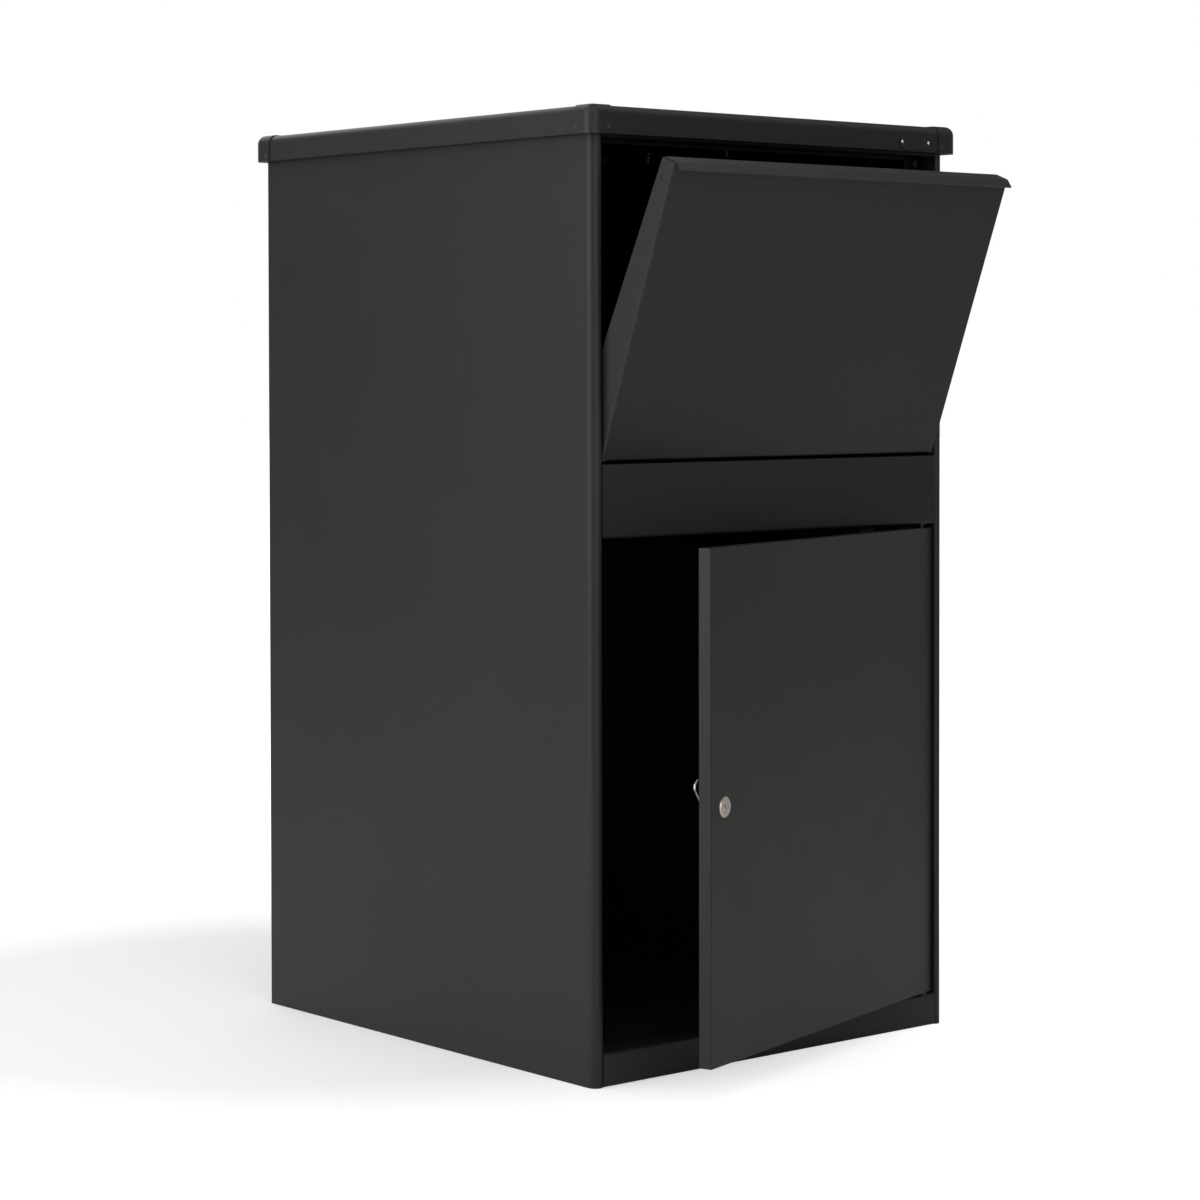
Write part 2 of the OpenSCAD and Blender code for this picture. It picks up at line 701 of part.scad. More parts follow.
// ---- rivets of the cabinet ----
module rail_rivets() {
    color(steel) for (sx = [-1, 1]) for (y = rail_fix_y)
        translate([sx * (hw + 0.05), y, rail_fix_z]) rotate([0, sx * 90, 0]) rivet(2 * sheet + fit + 0.05);
}
module rear_rivets() {
    color(steel) for (sx = [-1, 1]) for (z = rear_fix_z)
        translate([sx * rear_fix_x, hd + 0.05, z]) rotate([-90, 0, 0]) rivet(2 * sheet + 0.1);
}
module floor_rivets() {
    color(steel) for (sx = [-1, 1]) for (y = floor_fix_y)
        translate([sx * (in_x - fit - sheet - 0.05), y, floor_fix_z]) rotate([0, -sx * 90, 0])
            flush_rivet(2 * sheet + fit);
}
module member_rivets() {
    color(zinc) for (sx = [-1, 1]) for (z = concat(fascia_fix_z, [header_fix_z, plinth_fix_z]))
        translate([sx * (span_x - sheet - 0.05), member_y, z]) rotate([0, -sx * 90, 0])
            rivet(2 * sheet + fit + 0.05);
}

// ---- inside the cabinet ----
module baffle_plate() {
    y1 = hd - 2 * sheet - 0.1;
    color(inner_steel) difference() {
        folded_x(-baffle_x, baffle_x, [[y1 - mid, baffle_z + baffle_flange], [y1 - mid, baffle_z],
            [y1 - baffle_run, baffle_z - baffle_fall], [y1 - baffle_run, baffle_z - baffle_fall - 15]]);
        for (x = baffle_fix_x) rivet_hole_y([x, y1 - sheet - 1, baffle_fix_z], sheet + 2);
    }
}
module baffle_rivets() {
    color(steel) for (x = baffle_fix_x)
        translate([x, hd - sheet, baffle_fix_z]) rotate([-90, 0, 0]) rivet(2 * sheet + 0.15);
}
module flap_stop(sx) {
    x1 = in_x - fit;
    zb = pad_z + pad_h;
    color(inner_steel) difference() {
        mirror([sx < 0 ? 0 : 1, 0, 0]) translate([0, yf + stop_y + stop_w / 2, 0]) rotate([90, 0, 0])
            folded([[-x1 + mid, zb + stop_drop], [-x1 + mid, zb + mid], [-stop_x + pad_r + 3, zb + mid]],
                stop_w);
        for (dy = [-stop_fix_dy, stop_fix_dy])
            rivet_hole_x([sx * (x1 - mid) - sheet, yf + stop_y + dy, stop_fix_z], 2 * sheet);
        rod_z([sx * stop_x, yf + stop_y, zb - 1], 2.2, sheet + 2);
    }
}
module flap_stop_left() { flap_stop(-1); }
module flap_stop_right() { flap_stop(1); }
module flap_stop_rivets() {
    color(steel) for (sx = [-1, 1]) for (dy = [-stop_fix_dy, stop_fix_dy])
        translate([sx * (in_x - fit - sheet - 0.05), yf + stop_y + dy, stop_fix_z])
            rotate([0, -sx * 90, 0]) flush_rivet(2 * sheet + fit);
}
module flap_stop_pads() {
    zb = pad_z + pad_h;
    color(rubber) for (sx = [-1, 1]) translate([sx * stop_x, yf + stop_y, 0]) union() {
        rod_z([0, 0, pad_z], pad_r, pad_h - 0.1);
        rod_z([0, 0, zb - 1], 2, sheet + 2);
        rod_z([0, 0, zb + sheet + 0.1], 3.4, 1.5);
    }
}
module header_pads() {
    y1 = yf + header_d - sheet;
    color(rubber) for (sx = [-1, 1]) translate([sx * head_pad_x, 0, header_z - head_pad_z]) union() {
        rod_y([0, yf + cheek_top + 1, 0], 4, header_d - sheet - cheek_top - 1.1);
        rod_y([0, y1 - 1, 0], 2, sheet + 2);
        rod_y([0, y1 + sheet + 0.1, 0], 3.2, 1.5);
    }
}

// ---- pivots ----
module flap_bushes() {
    // collar between upright and cheek, barrel reaching into the hollow of the upright
    color(nylon) for (sx = [-1, 1]) mirror([sx < 0 ? 0 : 1, 0, 0]) difference() {
        union() {
            rod_x([-leg_x - bush_l + collar_t, flap_py, flap_pz], bush_r, bush_l);
            rod_x([-leg_x + 0.05, flap_py, flap_pz], collar_r, collar_t);
        }
        rod_x([-leg_x - bush_l - 1, flap_py, flap_pz], pin_r + run, bush_l + 4);
    }
}
module flap_pins() {
    l = flap_gap_s + sheet + bush_l - collar_t + 1.5;
    color(zinc) at_flap() for (sx = [-1, 1]) mirror([sx < 0 ? 0 : 1, 0, 0]) union() {
        rod_x([-flap_x + sheet + 0.05 - l, flap_py, flap_pz], pin_r, l);
        rod_x([-flap_x + sheet + 0.05, flap_py, flap_pz], pin_head_r, pin_head_h);
    }
}
module door_bushes() {
    color(nylon) union() {
        difference() {
            union() {
                rod_z([door_px, door_py, fascia_z - 0.05 - collar_t], bush_r, bush_l);
                rod_z([door_px, door_py, fascia_z - 0.05 - collar_t], collar_r, collar_t);
            }
            rod_z([door_px, door_py, fascia_z - 5], pin_r + run, bush_l + 8);
        }
        difference() {
            union() {
                rod_z([door_px, door_py, plinth_h + 0.05 - bush_l + 1], bush_r, bush_l);
                rod_z([door_px, door_py, plinth_h + 0.05], collar_r, door_gap_b - 0.35);
            }
            rod_z([door_px, door_py, plinth_h - bush_l - 2], pin_r + run, bush_l + 8);
        }
    }
}
module door_pins() {
    l = sheet + bush_l + 3;
    color(zinc) {
        union() {
            rod_z([door_px, door_py, door_top - sheet - 0.05], pin_r, sheet + door_gap_t + bush_l + 1);
            rod_z([door_px, door_py, door_top - sheet - 0.05 - pin_head_h], pin_head_r, pin_head_h);
        }
        union() {
            rod_z([door_px, door_py, door_z + sheet + 0.05 - l - door_gap_b + 2], pin_r,
                l + door_gap_b - 2);
            rod_z([door_px, door_py, door_z + sheet + 0.05], pin_head_r, pin_head_h);
        }
    }
}

// ---- flap ----
module cheek_profile(inset) {
    polygon([[yf + inset, flap_z], [yf + cheek_bot, flap_z], [yf + cheek_top, flap_z + sheet_top],
        [yf + inset, flap_z + sheet_top]]);
}
module flap_panel() {
    color(steel) at_flap() difference() {
        union() {
            // skin with bottom and top flanges
            folded_x(-flap_x + out_r, flap_x - out_r, [[yf + flap_foot, flap_z + mid],
                [yf + mid, flap_z + mid], [yf + mid, flap_z + sheet_top - mid],
                [yf + lip_seat - bend_r, flap_z + sheet_top - mid]]);
            // cheeks, each folded back from the skin
            for (sx = [-1, 1]) {
                translate([0, 0, flap_z]) mirror([sx < 0 ? 0 : 1, 0, 0])
                    folded([[-flap_x + mid, yf + cheek_top - 6], [-flap_x + mid, yf + mid],
                        [-flap_x + out_r + 2, yf + mid]], sheet_top);
                along_x(sx < 0 ? -flap_x : flap_x - sheet, sx < 0 ? -flap_x + sheet : flap_x)
                    cheek_profile(out_r + 1);
            }
        }
        for (x = [-flap_x - 1, flap_x - sheet - 1]) {
            rod_x([x, flap_py, flap_pz], pin_r + 0.1, sheet + 2);
            rod_x([x, yf + lip_screw_y, flap_z + lip_screw_s], lip_screw_r + hole_gap, sheet + 2);
        }
        for (i = [0:tray_rivets - 1])
            rivet_hole_z([tray_fix(i), yf + tray_fix_y, flap_z - 1], sheet + 2);
    }
}
tray_fix_y = tray_y0 + 10;
function tray_fix(i) = (i / (tray_rivets - 1) * 2 - 1) * (tray_x - 24);

module flap_lip() {
    z0 = flap_z + sheet_top + 0.05 + mid;
    yr = yf + lip_seat + 0.25 + mid;
    color(steel) at_flap() difference() {
        union() {
            // rear edge turned down behind the flap's top flange, grip edge sloping down in front
            folded_x(-lip_x, lip_x, [[yr, z0 - lip_rear], [yr, z0], [yf - 0.5, z0],
                [yf - lip_out + 0.4, z0 - lip_drop]]);
            // tabs behind the cheeks
            for (sx = [-1, 1]) box([sx * (flap_x - sheet - fit), yf + 3.5, z0 - lip_tab],
                [sx * (flap_x - 2 * sheet - fit), yr + mid, z0 - 2 * sheet - 1]);
        }
        for (x = [-flap_x - 1, flap_x - 3 * sheet - 1])
            rod_x([x, yf + lip_screw_y, flap_z + lip_screw_s], lip_screw_r + hole_gap, 3 * sheet + 2);
    }
}
module flap_lip_screws() {
    color(inner_steel) at_flap() for (sx = [-1, 1]) mirror([sx < 0 ? 0 : 1, 0, 0])
        translate([-flap_x - 0.05, yf + lip_screw_y, flap_z + lip_screw_s]) rotate([0, -90, 0]) union() {
            dome(2.9, 0.9);
            translate([0, 0, -8]) cylinder(r = lip_screw_r, h = 8);
        }
}
module flap_tray() {
    z0 = flap_z + sheet + 0.05 + mid;
    a = [yf + flap_foot + 2, z0];
    b = a + tray_l * [cos(tray_slope), -sin(tray_slope)];
    color(inner_steel) at_flap() difference() {
        union() {
            folded_x(-tray_x, tray_x, [[yf + tray_y0, z0], a, b,
                b + tray_hem * [-sin(tray_slope), -cos(tray_slope)]]);
            // side edges turned down
            for (sx = [-1, 1]) along_x(sx < 0 ? -tray_x : tray_x - sheet, sx < 0 ? -tray_x + sheet : tray_x)
                polygon([a + 20 * [cos(tray_slope), -sin(tray_slope)], b,
                    b + tray_hem * [-sin(tray_slope), -cos(tray_slope)],
                    a + 40 * [cos(tray_slope), -sin(tray_slope)]
                        + tray_hem * [-sin(tray_slope), -cos(tray_slope)]]);
        }
        for (i = [0:tray_rivets - 1])
            rivet_hole_z([tray_fix(i), yf + tray_fix_y, z0 - sheet], sheet + 2);
    }
}
module flap_tray_rivets() {
    color(zinc) at_flap() for (i = [0:tray_rivets - 1])
        translate([tray_fix(i), yf + tray_fix_y, flap_z + 2 * sheet + 0.1]) rivet(2 * sheet + 0.1);
}

// ---- door ----
module door_skin() {
    y1 = door_y + door_t;
    color(steel) at_door() difference() {
        union() {
            difference() {
                translate([0, 0, door_z]) linear_extrude(height = door_h) difference() {
                    round_front(door_x0, door_x1, out_r / 2);
                    round_front(door_x0 + sheet, door_x1 - sheet, out_r / 2 - sheet / 2, sheet);
                }
                // rear opening between the hems
                box([door_x0 + door_hem, y1 - sheet - 1, door_z + door_hem],
                    [door_x1 - door_hem, y1 + 1, door_top - door_hem]);
            }
            for (z = [door_z, door_top - sheet])
                box([door_x0 + mid, door_y + mid, z], [door_x1 - mid, y1 - mid, z + sheet]);
        }
        for (z = [door_z - 1, door_top - sheet - 1]) rod_z([door_px, door_py, z], pin_r + 0.1, sheet + 2);
        translate([lock_x, door_y - 1, lock_z]) rotate([-90, 0, 0]) linear_extrude(height = sheet + 2)
            lock_section(lock_r + 0.15, lock_flat + 0.3);
    }
}
// door section with a folded edge on each side, grown from the front face backwards
module round_front(x0, x1, r, inset = 0) {
    y0 = door_y + inset;
    y1 = door_y + door_t - inset;
    box2([x0, y0 + r], [x1, y1 - r]);
    box2([x0 + r, y0], [x1 - r, y1]);
    for (x = [x0 + r, x1 - r]) for (y = [y0 + r, y1 - r]) translate([x, y]) circle(r = r);
}
module door_stiffener() {
    y0 = door_y + sheet + 0.05;
    cx = (door_x0 + door_x1) / 2;
    color(inner_steel) at_door() translate([0, 0, door_z + 25])
        folded([[cx - 45, y0 + mid], [cx - 25, y0 + mid], [cx - 15, door_y + door_t - sheet - mid],
            [cx + 15, door_y + door_t - sheet - mid], [cx + 25, y0 + mid], [cx + 45, y0 + mid]],
            door_h - 50);
}
module door_stop(sz, z) {
    // angle on the face at height z; sz is -1 when it hangs down
    y0 = yf + door_set + door_t + door_pad_t + 0.5;
    translate([door_stop_x - door_stop_w / 2, 0, 0]) difference() {
        folded_x(0, door_stop_w, [[y0 + mid, z + sz * door_stop_h], [y0 + mid, z + sz * mid],
            [yf + ledge_d - 2.5, z + sz * mid]]);
        rivet_hole_z([door_stop_w / 2, yf + ledge_d - 9, z - sheet - 1], 2 * sheet + 2);
    }
}
module door_stops() {
    color(inner_steel) {
        door_stop(-1, fascia_z - 0.05);
        door_stop(1, plinth_h + 0.05);
    }
}
module door_stop_rivets() {
    color(zinc) {
        translate([door_stop_x, yf + ledge_d - 9, fascia_z - sheet - 0.1]) mirror([0, 0, 1])
            rivet(2 * sheet + 0.1);
        translate([door_stop_x, yf + ledge_d - 9, plinth_h + sheet + 0.1]) rivet(2 * sheet + 0.1);
    }
}
module door_stop_pads() {
    y0 = yf + door_set + door_t + 0.3;
    color(rubber) for (z = [[fascia_z - door_stop_h, fascia_z - door_gap_t],
        [plinth_h + door_gap_b + 1, plinth_h + door_stop_h]])
        box([door_stop_x - door_stop_w / 2 + 2, y0, z[0] + 0.3],
            [door_stop_x + door_stop_w / 2 - 2, y0 + door_pad_t + 0.15, z[1]]);
}

// ---- cam lock ----
module lock_section(r, flat) { intersection() { circle(r = r); square([2 * r + 1, flat], center = true); } }
module at_lock_fixed() { at_door() translate([lock_x, door_y, lock_z]) rotate([-90, 0, 0]) children(); }

module lock_housing() {
    color(nickel) at_lock_fixed() difference() {
        union() {
            translate([0, 0, -0.05]) mirror([0, 0, 1]) cylinder(r = lock_face_r, h = lock_face_h * 0.55);
            translate([0, 0, -0.05 - lock_face_h]) cylinder(r1 = lock_face_r - 1.4, r2 = lock_face_r,
                h = lock_face_h * 0.45);
            translate([0, 0, -0.1]) linear_extrude(height = lock_l - 0.25) lock_section(lock_r, lock_flat);
        }
        translate([0, 0, -lock_face_h - 1]) cylinder(r = plug_r + run, h = lock_l + lock_face_h + 2);
    }
}
module lock_nut() {
    color(nickel) at_lock_fixed() difference() {
        translate([0, 0, sheet + 0.05]) cylinder(r = nut_af / sqrt(3), h = nut_h, $fn = 6);
        translate([0, 0, sheet - 1]) cylinder(r = lock_r + 0.1, h = nut_h + 3);
    }
}
module lock_keeper() {
    // wear strip in the hollow of the latch upright, turned over the end of its return leg
    y1 = yf + return_d + 0.05;
    color(zinc) union() {
        box([-leg_x - sheet - 0.05, yf + 6, lock_z - 22], [-leg_x - sheet - 1.05, y1 + 1, lock_z + 22]);
        box([-leg_x - sheet - 0.55, y1, lock_z - 22], [-leg_x - 0.2, y1 + 1, lock_z + 22]);
    }
}
module lock_plug() {
    color(nickel) at_lock() rotate([-90, 0, 0]) difference() {
        union() {
            translate([0, 0, -lock_face_h + 0.25]) cylinder(r = plug_r, h = lock_l + lock_face_h - 0.3);
            translate([-cam_sq / 2, -cam_sq / 2, lock_l - 0.1]) cube([cam_sq, cam_sq, cam_t - 0.1]);
        }
        translate([-keyway[0] / 2, -keyway[1] / 2, -lock_face_h]) cube(keyway);
        translate([0, 0, lock_l - 7]) cylinder(r = screw_r + 0.1, h = 12);
    }
}
module lock_cam() {
    h = cam_w / 2;
    color(zinc) at_lock() translate([0, lock_l, 0]) rotate([-90, 0, 0]) difference() {
        linear_extrude(height = cam_t) union() {
            circle(r = cam_boss + 1);
            polygon([[-h, 0], [-h, -cam_l + cam_cut], [-h + cam_cut, -cam_l], [h - cam_cut, -cam_l],
                [h, -cam_l + cam_cut], [h, 0]]);
        }
        translate([-cam_sq / 2 - 0.1, -cam_sq / 2 - 0.1, -1]) cube([cam_sq + 0.2, cam_sq + 0.2, cam_t + 2]);
    }
}
module lock_cam_screw() {
    color(zinc) at_lock() translate([0, lock_l + cam_t + 0.05, 0]) rotate([-90, 0, 0]) difference() {
        union() {
            cylinder(r = 6, h = 0.8);
            translate([0, 0, 0.7]) cylinder(r = 3.6, h = 2.6);
            translate([0, 0, -6]) cylinder(r = screw_r, h = 6.5);
        }
        translate([0, 0, 1.6]) cylinder(r = 1.9, h = 3, $fn = 6);
    }
}

left_side_panel();
right_side_panel();
rear_panel();
floor_pan();
floor_mat();
plinth_panel();
fascia_panel();
header_rail();
roof_panel();
roof_rail_left();
roof_rail_right();
roof_cap_front_left();
roof_cap_front_right();
roof_cap_rear_left();
roof_cap_rear_right();
roof_cap_rivets();
roof_studs();
roof_nuts();
nameplate();
nameplate_rivets();
rail_rivets();
rear_rivets();
floor_rivets();
member_rivets();
baffle_plate();
baffle_rivets();
flap_stop_left();
flap_stop_right();
flap_stop_rivets();
flap_stop_pads();
header_pads();
flap_bushes();
door_bushes();
door_stops();
door_stop_rivets();
door_stop_pads();
lock_keeper();
flap_panel();
flap_lip();
flap_lip_screws();
flap_tray();
flap_tray_rivets();
flap_pins();
door_skin();
door_stiffener();
door_pins();
lock_housing();
lock_nut();
lock_plug();
lock_cam();
lock_cam_screw();
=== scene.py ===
"""Looks of the parcel drop box: materials, small surface detail, studio, camera."""
import json
import math

import bpy
from mathutils import Matrix, Vector

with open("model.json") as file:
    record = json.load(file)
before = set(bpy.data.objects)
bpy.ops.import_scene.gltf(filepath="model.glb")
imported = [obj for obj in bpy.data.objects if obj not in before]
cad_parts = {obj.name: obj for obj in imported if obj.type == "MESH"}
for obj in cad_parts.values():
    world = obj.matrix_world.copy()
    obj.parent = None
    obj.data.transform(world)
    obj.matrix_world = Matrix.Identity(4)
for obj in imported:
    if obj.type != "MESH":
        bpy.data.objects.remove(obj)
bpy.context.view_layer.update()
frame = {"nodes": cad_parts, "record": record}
NODES = frame["nodes"]
SLOT_OF = {s["node"]: s["material_slot"] for s in frame["record"]["subparts"]}
scene = bpy.context.scene


# ---------------------------------------------------------------- camera
def look(yaw, pitch, roll):
    """Rotation of a camera that looks along +Y turned towards +X by yaw and down by pitch."""
    ahead = Vector((math.sin(yaw) * math.cos(pitch), math.cos(yaw) * math.cos(pitch), -math.sin(pitch)))
    right = Vector((math.cos(yaw), -math.sin(yaw), 0.0))
    down = ahead.cross(right)
    r = math.cos(roll) * right + math.sin(roll) * down
    d = -math.sin(roll) * right + math.cos(roll) * down
    return Matrix(((r.x, -d.x, -ahead.x), (r.y, -d.y, -ahead.y), (r.z, -d.z, -ahead.z)))


CAM_AT = (-2.3889, -2.8392, 0.7573)  # metres
CAM_YAW, CAM_PITCH, CAM_ROLL = 40.07, 1.456, 0.1  # degrees

cam_data = bpy.data.cameras.new("camera")
cam_data.sensor_width = 36.0
cam_data.lens = 95.37
cam_data.shift_y = -0.1272
cam_data.clip_end = 200.0
cam = bpy.data.objects.new("camera", cam_data)
scene.collection.objects.link(cam)
cam.matrix_world = Matrix.Translation(CAM_AT) @ look(
    math.radians(CAM_YAW), math.radians(CAM_PITCH), math.radians(CAM_ROLL)).to_4x4()
scene.camera = cam


# ---------------------------------------------------------------- materials
def tone(colour, k):
    """A colour times k."""
    return tuple(c * k for c in colour)


class Graph:
    """A material's node tree with short calls for the nodes used here."""

    def __init__(self, name):
        self.mat = bpy.data.materials.new(name)
        self.mat.use_nodes = True
        self.nt = self.mat.node_tree
        self.nt.nodes.clear()
        self.out = self.nt.nodes.new("ShaderNodeOutputMaterial")
        self.bsdf = self.nt.nodes.new("ShaderNodeBsdfPrincipled")
        self.nt.links.new(self.bsdf.outputs[0], self.out.inputs[0])
        self.coord = self.nt.nodes.new("ShaderNodeTexCoord").outputs["Object"]

    def link(self, a, b):
        self.nt.links.new(a, b)

    def noise(self, scale, detail=4.0, rough=0.55, offset=(0, 0, 0)):
        """Noise in object space, scale in cells a metre."""
        n = self.nt.nodes.new("ShaderNodeTexNoise")
        n.inputs["Scale"].default_value = scale
        n.inputs["Detail"].default_value = detail
        n.inputs["Roughness"].default_value = rough
        src = self.coord
        if any(offset):
            src = self.shift(offset)
        self.link(src, n.inputs["Vector"])
        return n.outputs["Fac"]

    def shift(self, offset):
        """Object coordinates moved by offset."""
        m = self.nt.nodes.new("ShaderNodeMapping")
        m.inputs["Location"].default_value = offset
        self.link(self.coord, m.inputs["Vector"])
        return m.outputs["Vector"]

    def ramp(self, fac, stops):
        """Colour ramp with (position, colour) stops."""
        r = self.nt.nodes.new("ShaderNodeValToRGB")
        els = r.color_ramp.elements
        while len(els) < len(stops):
            els.new(0.5)
        for e, (pos, col) in zip(els, stops):
            e.position = pos
            e.color = (*col, 1.0)
        self.link(fac, r.inputs[0])
        return r.outputs[0]

    def range(self, fac, lo, hi, to_lo, to_hi):
        """Maps lo..hi to to_lo..to_hi, held at the ends."""
        m = self.nt.nodes.new("ShaderNodeMapRange")
        for name, v in (("From Min", lo), ("From Max", hi), ("To Min", to_lo), ("To Max", to_hi)):
            m.inputs[name].default_value = v
        self.link(fac, m.inputs["Value"])
        return m.outputs["Result"]

    def mix(self, fac, a, b):
        """Colour a where fac is 0 and b where it is 1; each is a socket or a plain value."""
        m = self.nt.nodes.new("ShaderNodeMix")
        m.data_type = "RGBA"
        factor, colour_a, colour_b = m.inputs[0], m.inputs[6], m.inputs[7]
        for sock, v in ((factor, fac), (colour_a, a), (colour_b, b)):
            self.feed(sock, v)
        return m.outputs[2]

    def feed(self, sock, v):
        if isinstance(v, bpy.types.NodeSocket):
            self.link(v, sock)
        else:
            sock.default_value = (*v, 1.0) if isinstance(v, tuple) else v

    def times(self, a, b):
        m = self.nt.nodes.new("ShaderNodeMath")
        m.operation = "MULTIPLY"
        self.feed(m.inputs[0], a)
        self.feed(m.inputs[1], b)
        return m.outputs[0]

    def bump(self, height, distance, under=None):
        """Bump of a depth in metres, over the normal in under if there is one."""
        b = self.nt.nodes.new("ShaderNodeBump")
        b.inputs["Distance"].default_value = distance
        b.inputs["Strength"].default_value = 1.0
        self.link(height, b.inputs["Height"])
        if under:
            self.link(under, b.inputs["Normal"])
        self.link(b.outputs[0], self.bsdf.inputs["Normal"])
        return b.outputs[0]

    def edges(self, radius):
        """About 0 on flat sheet, rising towards 1 on a sharp edge."""
        b = self.nt.nodes.new("ShaderNodeBevel")
        b.samples = 4
        b.inputs["Radius"].default_value = radius
        g = self.nt.nodes.new("ShaderNodeNewGeometry")
        d = self.nt.nodes.new("ShaderNodeVectorMath")
        d.operation = "DOT_PRODUCT"
        self.link(b.outputs[0], d.inputs[0])
        self.link(g.outputs["Normal"], d.inputs[1])
        return self.range(d.outputs["Value"], 0.99, 0.75, 0.0, 1.0)


def powder(name, base, rough=0.40, spec=0.28, edge_highlight_amount=0.25):
    """Powder coat: cloudiness, pale specks, dark mottle, a painted highlight along sharp edges, orange
    peel.
    """
    g = Graph(name)
    cloud = g.noise(3.1, 3.0, 0.6)
    col = g.ramp(cloud, [(0.3, tone(base, 0.94)), (0.7, tone(base, 1.06))])
    speck = g.range(g.noise(2600.0, 2.0, 0.6), 0.35, 0.68, 0.0, 0.22)
    col = g.mix(speck, col, tone(base, 1.5))
    mottle = g.range(g.noise(650.0, 2.0, 0.7, offset=(5, 2, 9)), 0.3, 0.7, 0.0, 0.5)
    col = g.mix(mottle, col, tone(base, 0.6))
    # Lighter colour along sharp edges, made patchy by noise: a painted edge highlight.
    edge_highlight = g.times(g.edges(0.0009), g.range(g.noise(60.0, 5.0), 0.35, 0.7, 0.3, 1.0))
    col = g.mix(g.times(edge_highlight, edge_highlight_amount), col, tone(base, 2.4))
    g.link(col, g.bsdf.inputs["Base Color"])
    sheen = g.noise(7.0, 4.0, 0.6, offset=(3, 1, 2))
    g.link(g.range(sheen, 0.3, 0.7, rough - 0.035, rough + 0.035), g.bsdf.inputs["Roughness"])
    g.bsdf.inputs["Specular IOR Level"].default_value = spec
    peel = g.bump(g.noise(520.0, 3.0, 0.6), 0.00012)
    g.bump(g.noise(1700.0, 2.0, 0.5), 0.00004, under=peel)
    return g.mat


def metal(name, base, rough):
    """Plated metal with faint stains and a fine grain."""
    g = Graph(name)
    g.bsdf.inputs["Metallic"].default_value = 1.0
    stain = g.noise(90.0, 4.0, 0.6)
    g.link(g.ramp(stain, [(0.3, tone(base, 0.86)), (0.75, base)]), g.bsdf.inputs["Base Color"])
    fine = g.noise(900.0, 4.0, 0.6)
    g.link(g.range(fine, 0.3, 0.7, rough - 0.06, rough + 0.08), g.bsdf.inputs["Roughness"])
    g.bump(fine, 0.00002)
    return g.mat


def plastic(name, base, rough, spec=0.4, grain=900.0, depth=0.00003):
    """Moulded nylon, rubber or printed plate with a fine grain."""
    g = Graph(name)
    patch = g.noise(25.0, 4.0)
    g.link(g.ramp(patch, [(0.3, tone(base, 0.9)), (0.7, tone(base, 1.12))]), g.bsdf.inputs["Base Color"])
    g.link(g.range(g.noise(60.0, 3.0), 0.3, 0.7, rough - 0.05, rough + 0.05), g.bsdf.inputs["Roughness"])
    g.bsdf.inputs["Specular IOR Level"].default_value = spec
    g.bump(g.noise(grain, 3.0, 0.5), depth)
    return g.mat


PAINT = (0.0172, 0.0171, 0.0149)
# The inside gets a darker copy of the cabinet paint: painted shade.
SHADED_INSIDE_PAINT = (0.008, 0.008, 0.0075)
MATERIALS = {  # one for each material slot of the record
    "cabinet_paint": powder("anthracite_powder_coat", PAINT),
    "inner_paint": powder("anthracite_inside_painted_shade", SHADED_INSIDE_PAINT, rough=0.6, spec=0.15, edge_highlight_amount=0.1),
    "zinc_plated": metal("zinc_plate", (0.42, 0.42, 0.43), 0.38),
    "nickel_plated": metal("nickel_plate", (0.62, 0.56, 0.50), 0.27),
    "nylon": plastic("black_nylon", (0.018, 0.018, 0.018), 0.42),
    "rubber": plastic("black_rubber", (0.014, 0.014, 0.014), 0.75, spec=0.25, grain=500.0, depth=0.0001),
    "nameplate": plastic("nameplate_black", (0.016, 0.016, 0.019), 0.3, spec=0.5),
    "nameplate_rivets": metal("bright_aluminium", (0.78, 0.78, 0.79), 0.25),
    "blackened_steel": metal("blackened_steel", (0.04, 0.04, 0.04), 0.42),
}
for node, obj in NODES.items():
    obj.data.materials.clear()
    obj.data.materials.append(MATERIALS[SLOT_OF[node]])


# ---------------------------------------------------------------- studio
AIM = Vector((0.0, 0.0, 0.5))


def softbox(name, azimuth, elevation, power, size=(1.7, 1.5), reach=3.6):
    """An area light that the camera doesn't see, aimed at the middle of the object."""
    az, el = math.radians(azimuth), math.radians(elevation)
    data = bpy.data.lights.new(name, "AREA")
    data.shape = "RECTANGLE"
    data.size, data.size_y, data.energy = size[0], size[1], power
    o = bpy.data.objects.new(name, data)
    scene.collection.objects.link(o)
    out = Vector((math.cos(az) * math.cos(el), math.sin(az) * math.cos(el), math.sin(el)))
    o.location = AIM + reach * out
    o.rotation_euler = (AIM - o.location).to_track_quat("-Z", "Y").to_euler()
    o.visible_camera = False


BOXES = [  # wide soft boxes: azimuth and elevation in degrees, power in watts
    (0, 8, 3.4), (60, 8, 7.0), (90, 8, 7.1), (150, 8, 9.5), (180, 8, 20.6),
    (240, 8, 6.5), (270, 8, 8.2), (60, 32, 10.7), (90, 32, 14.9), (150, 32, 7.2),
    (180, 32, 12.7), (210, 32, 6.0), (240, 32, 8.2), (270, 32, 4.1), (330, 32, 2.6),
    (0, 58, 0.9), (45, 58, 1.2), (90, 58, 6.6), (135, 58, 11.8), (180, 58, 4.7),
    (225, 58, 8.3), (270, 58, 7.2), (315, 58, 7.9),
]
STRIPS = [  # narrow upright ones, the same way
    (150, 10, 1.2), (165, 10, 6.2), (180, 10, 2.9), (195, 10, 1.2), (240, 10, 1.0),
    (255, 10, 3.6), (270, 10, 2.2), (285, 10, 0.3), (300, 10, 0.7), (135, 34, 0.6),
    (150, 34, 0.6), (165, 34, 1.9), (180, 34, 1.8), (195, 34, 1.2), (210, 34, 1.2),
    (225, 34, 1.1), (240, 34, 1.4), (255, 34, 1.7), (270, 34, 0.8), (285, 34, 0.4),
    (300, 34, 0.6),
]
for i, (az, el, power) in enumerate(BOXES):
    softbox("softbox_%02d" % i, az, el, power)
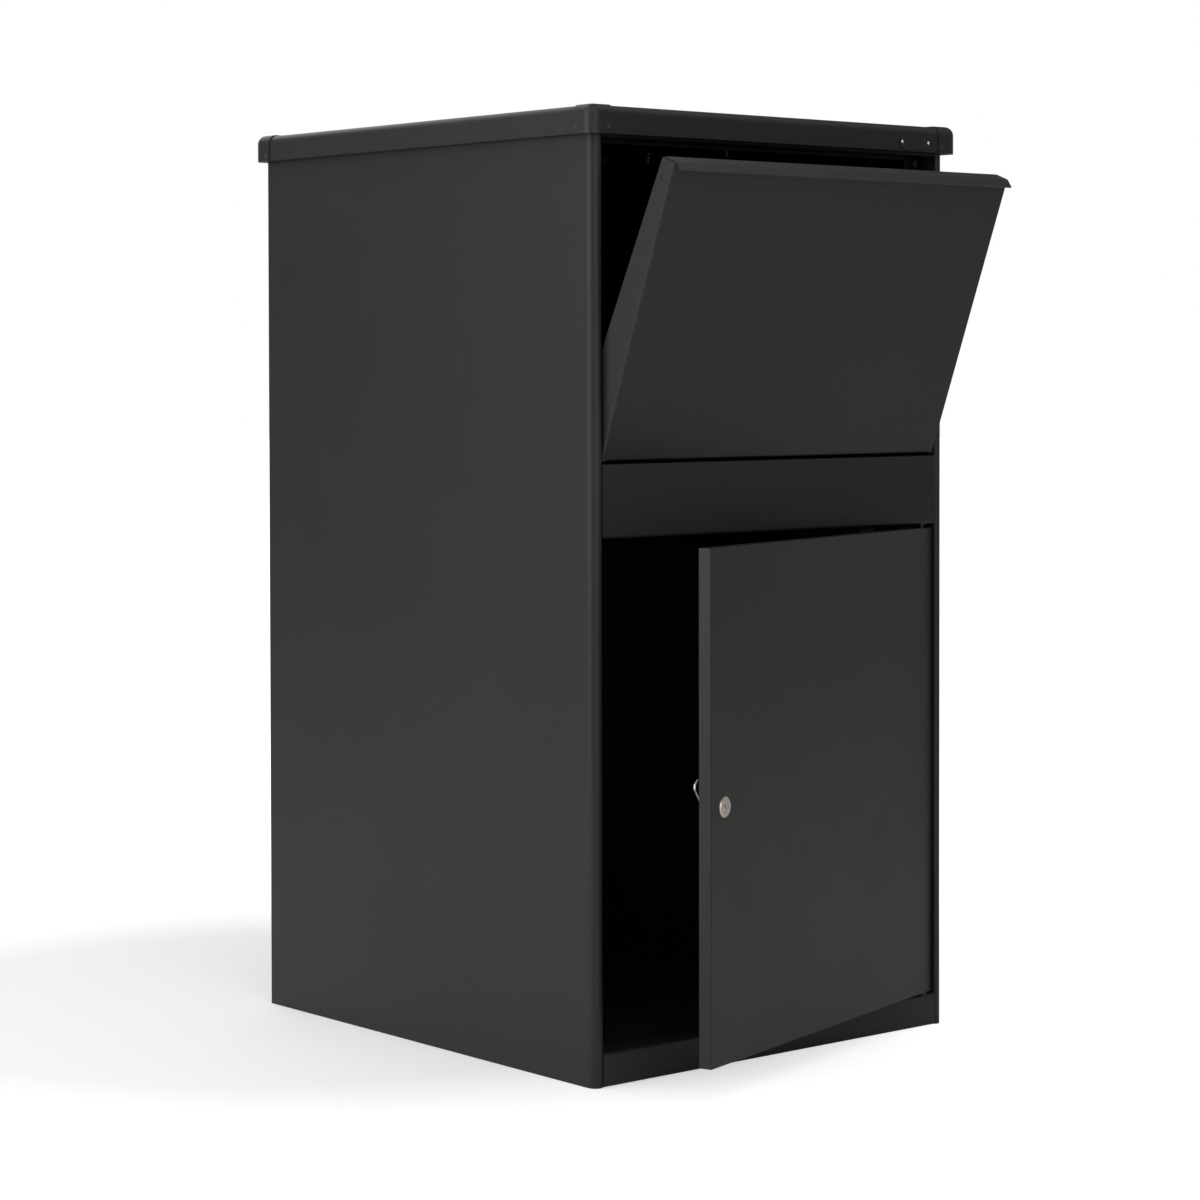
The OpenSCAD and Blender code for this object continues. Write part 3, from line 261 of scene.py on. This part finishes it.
for i, (az, el, power) in enumerate(STRIPS):
    softbox("strip_%02d" % i, az, el, power, size=(0.35, 1.6))
softbox("softbox_top", 0, 90, 26.6, size=(6.0, 6.0), reach=4.0)

world = bpy.data.worlds.new("studio")
scene.world = world
world.use_nodes = True
background = world.node_tree.nodes["Background"]
background.inputs["Color"].default_value = (1, 1, 1, 1)
background.inputs["Strength"].default_value = 0.11

FLOOR_R = 30.0  # metres
FLOOR_Z, GLOW_Z = -0.0005, -0.0003  # just under the feet, so nothing lies in the same plane
BACKDROP_R = 60.0


def disc(name, z, material):
    bpy.ops.mesh.primitive_circle_add(vertices=96, radius=FLOOR_R, fill_type="NGON", location=(0, 0, z))
    obj = bpy.context.object
    obj.name = name
    obj.data.materials.append(material)
    return obj


def only_camera(obj):
    """Makes obj seen by the camera only, so that it neither lights nor shades anything."""
    for ray in ("diffuse", "glossy", "transmission", "volume_scatter", "shadow"):
        setattr(obj, "visible_" + ray, False)


def glow(graph, strength=1.0):
    """Output of a white emission shader."""
    node = graph.nt.nodes.new("ShaderNodeEmission")
    node.inputs["Strength"].default_value = strength
    return node.outputs[0]


fg = Graph("pale_floor")
fg.bsdf.inputs["Base Color"].default_value = (0.86, 0.86, 0.86, 1)
fg.bsdf.inputs["Roughness"].default_value = 0.9
fg.bsdf.inputs["Specular IOR Level"].default_value = 0.0
disc("floor", FLOOR_Z, fg.mat)

# a plain white backdrop
sg = Graph("white_backdrop")
sg.link(glow(sg), sg.out.inputs[0])
bpy.ops.mesh.primitive_uv_sphere_add(segments=48, ring_count=24, radius=BACKDROP_R)
sky = bpy.context.object
sky.name = "backdrop"
sky.data.materials.append(sg.mat)
only_camera(sky)

# a white glow over the floor that only the camera sees: painted light that whitens the floor and its
# shadows, less so around a point left of and behind the object, where the shadow shows through
hg = Graph("white_floor_glow")
away = hg.nt.nodes.new("ShaderNodeVectorMath")
away.operation = "LENGTH"
hg.link(hg.shift((0.25, -0.3, 0.0)), away.inputs[0])
clear = hg.nt.nodes.new("ShaderNodeBsdfTransparent")
blend = hg.nt.nodes.new("ShaderNodeMixShader")
hg.link(hg.range(away.outputs["Value"], 0.45, 1.15, 0.18, 1.0), blend.inputs["Fac"])
hg.link(clear.outputs[0], blend.inputs[1])
hg.link(glow(hg, 1.5), blend.inputs[2])
hg.link(blend.outputs[0], hg.out.inputs[0])
only_camera(disc("floor_glow", GLOW_Z, hg.mat))

scene.view_settings.view_transform = "Standard"
